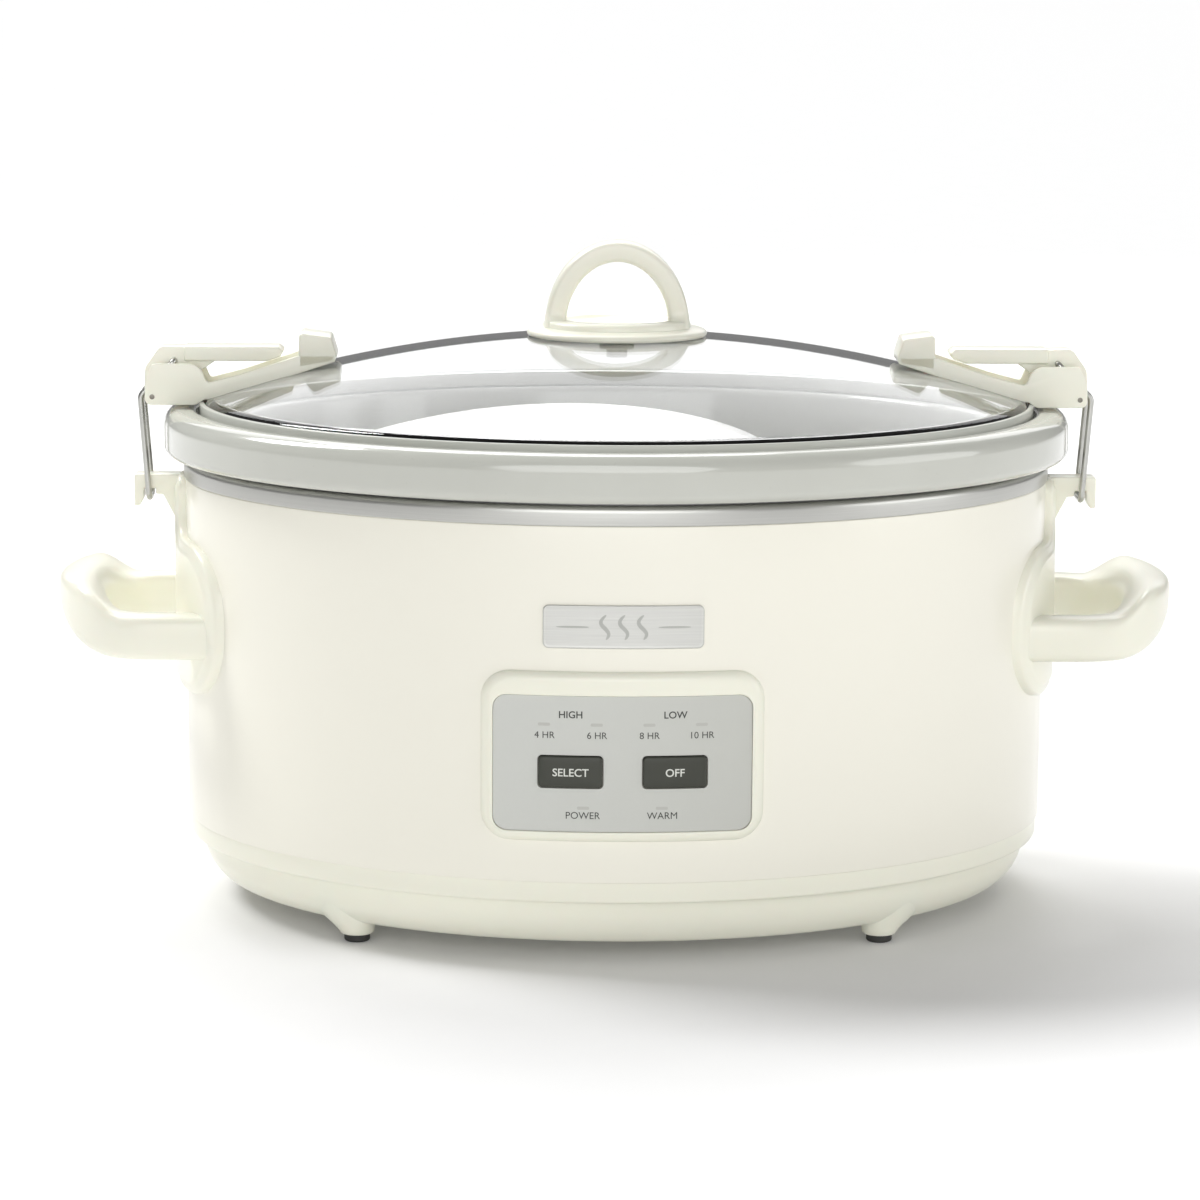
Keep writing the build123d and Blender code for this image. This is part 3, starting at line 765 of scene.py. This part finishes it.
def handle_path(arm_y, reach, start, corner):
    """The carry handle's middle line in plan: an arm, a rounded end and the other arm."""
    line = [(start, -arm_y)]
    for k in range(49):
        a = -math.pi / 2 + math.pi * k / 48
        c, s = math.cos(a), math.sin(a)
        power = 2 / 2.3
        line.append((reach - corner + corner * abs(c) ** power, arm_y * math.copysign(abs(s) ** power, s)))
    line.append((start, arm_y))
    return line


def make_carry_handle(name, side):
    box = Span(name + "_carry_handle")
    outer = box.x1 if side > 0 else -box.x0
    low, high = box.z0, box.z1
    arm_high = low + (high - low) * 0.63
    grip, arm = 19.0, 16.0
    line = handle_path(box.y1 - arm / 2, outer - grip / 2, BODY_A - 13, 33)
    loops = []
    for i, (x, y) in enumerate(line):
        before, after = Vector(line[max(i - 1, 0)]), Vector(line[min(i + 1, len(line) - 1)])
        along = (after - before).normalized()
        width = arm + (grip - arm) * smooth(outer - 32, outer - 12, x)
        loop = []
        for k in range(36):
            a = 2 * math.pi * k / 36
            u = math.copysign(abs(math.cos(a)) ** 0.5, math.cos(a)) / 2
            v = math.copysign(abs(math.sin(a)) ** 0.5, math.sin(a)) / 2
            at_x, at_y = x + along.y * width * u, y - along.x * width * u
            far = min(1.0, max(0.0, (at_x - outer + 28.5) / 28.5))
            bottom = low + 21 * (1 - math.sqrt(1 - far ** 2.2))
            top = arm_high + (high - arm_high) * smooth(outer - 28, outer - 10, at_x)
            loop.append((side * at_x, at_y, bottom + (top - bottom) * (v + 0.5)))
        loops.append(loop)
    handle = lofted(name + "_grip", loops, moulding_finish, cap_first=True, cap_last=True, shade_angle=60)
    fit(handle, "base", "cream_plastic", name + "_carry_handle")


# ---- crock, glass and gasket ----
def make_crock():
    box = Span("stoneware_crock")
    a, low, top = box.x1, box.z0, box.z1
    rim_low, ledge = top - 18.3, top - 5.3
    wall_top, wall_low = a - 22.2, a - 34.7
    outline = [(0, low + 10), (wall_low - 8, low + 10), (wall_top - 7, ledge), (a - 13.5, ledge), (a - 13.5, top),
               (a, top), (a, rim_low), (wall_top, rim_low), (wall_low, low), (0, low)]
    profile = rounded(outline, {1: 20, 2: 3, 3: 1.5, 4: 3.2, 5: 7.5, 6: 4, 7: 2, 8: 16}, 10)
    crock = turned("crock", profile, glaze_finish, segments=320, closed=False)
    fit(crock, "crock", "stoneware", "stoneware_crock")


def dome(box, drop, reach, steps, start=0.0):
    """Points down the dome from the middle, drop below its outside."""
    half, rise = box.x1, box.z1 - (box.z0 + 4.0)
    radius = (half ** 2 + rise ** 2) / (2 * rise)
    out = []
    for k in range(steps + 1):
        r = start + (reach - start) * k / steps
        out.append((r, box.z1 - radius + math.sqrt(radius ** 2 - r ** 2) - drop))
    return out


def make_glass():
    box = Span("glass_lid")
    half = box.x1
    outside = dome(box, 0, half - 1.4, 60, 3.6)
    edge_z = box.z1 - (box.z1 - box.z0 - 4.0)
    rim = [(half - 0.5, edge_z - 0.35), (half, edge_z - 1.3), (half, edge_z - 2.2), (half - 0.5, edge_z - 2.75)]
    inside = list(reversed(dome(box, 3.0, half - 1.4, 60, 3.6)))
    glass = turned("glass", outside + rim + inside, glass_finish, segments=320, shade_angle=60)
    fit(glass, "lid", "lid_glass", "glass_lid")


def make_gasket():
    box, glass = Span("lid_gasket"), Span("glass_lid")
    a, low, high = box.x1, box.z0, box.z1
    outline = [(a - 9.4, low), (a, low), (a, high), (glass.x1 + 0.2, high), (glass.x1 + 0.2, high - 4.3),
               (a - 9.4, high - 2.0)]
    profile = rounded(outline, {0: 0.6, 1: 1.0, 2: 0.7}, 5)
    fit(turned("seal", profile, gasket_finish, segments=320), "lid", "silicone", "lid_gasket")


def make_lid_handle():
    box = Span("lid_handle")
    glass = Span("glass_lid")
    half_x, half_y, top = box.x1, box.y1, box.z1
    base = glass.z1 + 2.4
    under = dome(glass, -0.2, half_x - 0.6, 10)
    rim_z = under[-1][1]
    plate = under + [(half_x - 0.1, rim_z + 0.5), (half_x, rim_z + 1.2), (half_x - 0.3, rim_z + 2.0),
                     (half_x - 1.0, rim_z + 2.5), (half_x - 2.2, rim_z + 2.9), (half_x - 6, rim_z + 3.6),
                 (0, rim_z + 4.0)]
    parts = [turned("plate", plate, moulding_finish, ratio=half_y / half_x, segments=160, closed=False)]
    foot = 29.4
    floor = rim_z + 3.4
    boss = [(0, floor + 1.3), (18, floor + 1.4), (20, floor + 1.9), (21, floor + 2.7), (21.8, floor + 3.0),
            (foot - 1.6, floor + 2.9), (foot - 0.5, floor + 2.4), (foot, floor + 1.5), (foot + 0.3, floor - 1.5)]
    parts.append(turned("boss", boss, moulding_finish, ratio=0.84, segments=160, closed=False))
    parts.append(arch(foot, top, base))
    fit(join("arch_handle", parts), "lid", "cream_plastic", "lid_handle")


def arch(foot, top, base):
    """The flat band that rises from the plate's two ends."""
    bar, depth = 8.4, 15.0
    rise = top - base - bar / 2
    reach = foot - 0.6 - bar / 2
    loops = []
    steps = 64
    for i in range(steps + 1):
        a = math.pi * i / steps
        x, z = -reach * math.cos(a), base + rise * math.sin(a)
        normal = Vector((-math.cos(a) * rise, math.sin(a) * reach)).normalized()
        spread = 1 - smooth(0, 6, z - base)
        thick = bar + 0.6 * spread
        wide = depth + 6 * spread
        loop = []
        for k in range(32):
            b = 2 * math.pi * k / 32
            u = math.copysign(abs(math.cos(b)) ** 0.42, math.cos(b)) / 2
            v = math.copysign(abs(math.sin(b)) ** 0.42, math.sin(b)) / 2
            loop.append((x + normal.x * thick * u, wide * v, z + normal.y * thick * u))
        loops.append(loop)
    return lofted("arch", loops, moulding_finish, cap_first=True, cap_last=True, shade_angle=60)


# ---- latches ----
def make_clip(name, side):
    x, z = pivot(name + "_lever_turn")
    inner, outer = 8.6, 10.6

    def at(points):
        return [(x + dx, z + dz) for dx, dz in points]

    cheek = rounded(at([(-0.1, 13.2), (-18.6, 13.2), (-21.8, 5.6), (-34.6, 8.9), (-58.8, 16.8), (-73.1, 16.8),
                        (-72.6, 14.2), (-47.8, 6.0), (-34.6, 1.2), (-27.0, -0.9), (-20.5, -1.1), (-17.2, -3.3),
                        (2.9, -3.3), (2.9, 3.7), (1.7, 9.7)]),
                    {0: 1.8, 1: 7, 2: 1.6, 3: 14, 9: 10, 11: 2, 12: 2.6, 13: 2, 14: 4}, 6)
    floor = at([(-13.5, 2.2), (-24.5, 3.7), (-57.0, 14.2), (-73.1, 16.7), (-72.6, 14.4), (-47.8, 6.2),
                (-34.6, 1.4), (-24, -0.4), (-18.4, -0.5), (-16.8, -3.0), (-13.5, -3.0)])
    end = rounded(at([(-57.9, 11.5), (-58.3, 25.7), (-70.9, 24.0), (-73.1, 16.7), (-71.8, 13.9)]),
                  {1: 1.6, 2: 1.8, 3: 1}, 5)
    parts = [slice_of("cheek_a", cheek, inner, outer, moulding_finish, 0.45, side),
             slice_of("cheek_b", cheek, -outer, -inner, moulding_finish, 0.45, side),
             slice_of("channel", floor, -8.8, 8.8, moulding_finish, 0.3, side),
             slice_of("end_block", end, -outer, outer, moulding_finish, 0.8, side)]
    frame_piece = join(name + "_clip", parts)
    fit(frame_piece, "lid", "cream_plastic", name + "_clip_frame")
    rivet = []
    for y, r in ((-10.8, 0.6), (-10.75, 0.95), (-10.4, 1.1), (10.4, 1.1), (10.75, 0.95), (10.8, 0.6)):
        rivet.append([(side * (x + r * math.cos(t)), y, z + r * math.sin(t))
                      for t in (2 * math.pi * k / 24 for k in range(24))])
    pin = lofted(name + "_pin", rivet, pin_finish, cap_first=True, cap_last=True)
    fit(pin, "lid", "pin_steel", name + "_lever_pin")


def make_lever(name, side):
    x, z = pivot(name + "_lever_turn")

    def at(points):
        return [(x + dx, z + dz) for dx, dz in points]

    root = rounded(at([(-25.5, 14.4), (-25.5, 18.7), (-3.0, 19.7), (3.1, 11.2), (3.6, 0), (1.5, -3.3), (-1.5, -3.3),
                       (-3.6, 0), (-5.0, 7.2), (-10.9, 8.4), (-17.0, 8.2), (-19.6, 10.2)]),
                   {2: 4, 3: 5, 4: 2, 5: 2, 6: 2, 7: 2, 8: 3, 9: 2, 10: 2, 11: 5}, 6)
    grip = rounded(at([(-12.5, 13.9), (-12.5, 19.7), (-50.0, 19.7), (-52.0, 18.0), (-50.8, 15.7), (-45.5, 13.9)]),
                   {2: 1.2, 3: 0.8, 4: 1.4, 5: 3}, 5)
    parts = [slice_of("root", root, -5.6, 5.6, moulding_finish, 0.5, side),
             slice_of("grip", grip, -7, 7, moulding_finish, 1.0, side)]
    fit(join(name + "_lever_shape", parts), name + "_lever", "cream_plastic", name + "_lever")


def make_bail(name, side):
    x, z = pivot(name + "_bail_swing")
    box = Span(name + "_bail")
    radius = 1.2
    y = box.y1 - radius
    elbow = ((box.x1 if side > 0 else -box.x0) - radius + 0.35, z - 13.8)
    bar = (elbow[0] - 3.1, box.z0 + radius)
    points = [(x, -3, z), (x, -y, z), (elbow[0], -y, elbow[1]), (bar[0], -y, bar[1]), (bar[0], y, bar[1]),
              (elbow[0], y, elbow[1]), (x, y, z), (x, 3, z)]
    loop = wire(name + "_wire", points, radius, wire_finish, [1.4, 4, 2.4, 2.4, 4, 1.4], side=side)
    fit(loop, name + "_bail", "wire_steel", name + "_bail")


def make_hidden_parts():
    # The well, heater band and heat shield take the well finish, whose dark grey is painted shade for the gap below
    # the crock's rim.
    for node, finish in (
            ("heating_well", gap_shade_well_finish), ("heater_band", gap_shade_well_finish), ("thermal_fuse", pin_finish),
            ("centre_stud", pin_finish), ("stud_nut", pin_finish), ("heat_shield", gap_shade_well_finish),
            ("power_board", circuit_finish), ("relay", dark_finish), ("cord_inlet", dark_finish),
            ("indicator_leds", window_finish), ("control_board", circuit_finish),
            ("tactile_switches", dark_finish), ("lid_handle_screw", pin_finish), ("handle_washer", gasket_finish),
            ("left_handle_screws", pin_finish), ("right_handle_screws", pin_finish)):
        repaint(node, finish)


def make_object_pieces():
    make_shell()
    make_rim_band()
    make_base()
    make_feet()
    make_panel()
    make_button("select_button", "select_cap")
    make_button("off_button", "off_cap")
    make_badge()
    make_labels()
    make_crock()
    make_glass()
    make_gasket()
    make_lid_handle()
    for name, side in (("left", -1), ("right", 1)):
        make_bracket(name, side)
        make_carry_handle(name, side)
        make_clip(name, side)
        make_lever(name, side)
        make_bail(name, side)
    make_hidden_parts()


# ---- studio ----
def make_camera():
    """A long lens a little above the lid, looking slightly from the left."""
    distance, turn, tilt, roll = 1.70, math.radians(-1.14), math.radians(10.05), math.radians(0.35)
    aim = Vector((-0.0061, 0, 0.1177))
    away = Vector((math.sin(turn) * math.cos(tilt), -math.cos(turn) * math.cos(tilt), math.sin(tilt)))
    right = (-away).cross(Vector((0, 0, 1))).normalized()
    up = right.cross(-away)
    tilted_right = right * math.cos(roll) + up * math.sin(roll)
    tilted_up = up * math.cos(roll) - right * math.sin(roll)
    camera = bpy.data.objects.new("camera", bpy.data.cameras.new("camera"))
    camera.data.lens = 126.45
    camera.data.sensor_width = 36
    camera.data.clip_end = 50
    matrix = Matrix((tilted_right, tilted_up, away)).transposed().to_4x4()
    matrix.translation = aim + away * distance
    camera.matrix_world = matrix
    bpy.context.scene.collection.objects.link(camera)
    bpy.context.scene.camera = camera


def softbox(name, place, target, size, power, tone=(1, 1, 1)):
    light = bpy.data.lights.new(name, "AREA")
    light.shape = "RECTANGLE"
    light.size, light.size_y = size
    light.energy = power
    light.color = tone
    holder = bpy.data.objects.new(name, light)
    holder.location = place
    holder.rotation_euler = (Vector(target) - Vector(place)).to_track_quat("-Z", "Y").to_euler()
    bpy.context.scene.collection.objects.link(holder)


def distant(name, place, strength, spread):
    """A light from far away, along the line from place to the middle, with soft edges."""
    light = bpy.data.lights.new(name, "SUN")
    light.energy = strength
    light.angle = math.radians(spread)
    holder = bpy.data.objects.new(name, light)
    holder.rotation_euler = (-Vector(place)).to_track_quat("-Z", "Y").to_euler()
    bpy.context.scene.collection.objects.link(holder)


def paper():
    """White sweep lit from behind, so that open floor is pure white and shadows stay soft."""
    f = Finish("paper", Emission_Strength=0.04)
    f.set(Base_Color=f.mix(f.noise(30, 3), (0.80, 0.80, 0.80, 1), (0.82, 0.82, 0.82, 1)))
    f.gloss(200, 0.82, 0.08)
    f.shader.inputs["Emission Color"].default_value = (1, 1, 1, 1)
    return f.material


def make_studio():
    world = bpy.data.worlds.new("studio")
    world.use_nodes = True
    world.node_tree.nodes["Background"].inputs[0].default_value = (1, 1, 1, 1)
    world.node_tree.nodes["Background"].inputs[1].default_value = 0.24
    bpy.context.scene.world = world
    bpy.context.scene.view_settings.view_transform = "Standard"
    size = 25.0
    corners = [(x * size / MM, y * size / MM, 0) for x, y in ((-1, -1), (1, -1), (1, 1), (-1, 1))]
    make_object("floor", corners, [(0, 1, 2, 3)], paper())
    distant("left_light", (-1.0, 0.55, 1.35), 2.2, 22)
    distant("rear_light", (-0.15, 1.0, 1.5), 1.05, 30)
    distant("front_light", (-0.05, -1.0, 0.25), 1.2, 45)
    distant("right_light", (1.0, -0.35, 0.2), 0.8, 40)
    softbox("back_light", (0.1, 1.9, 1.35), (0, 0, 0.15), (2.8, 1.7), 22)


make_object_pieces()
make_camera()
make_studio()
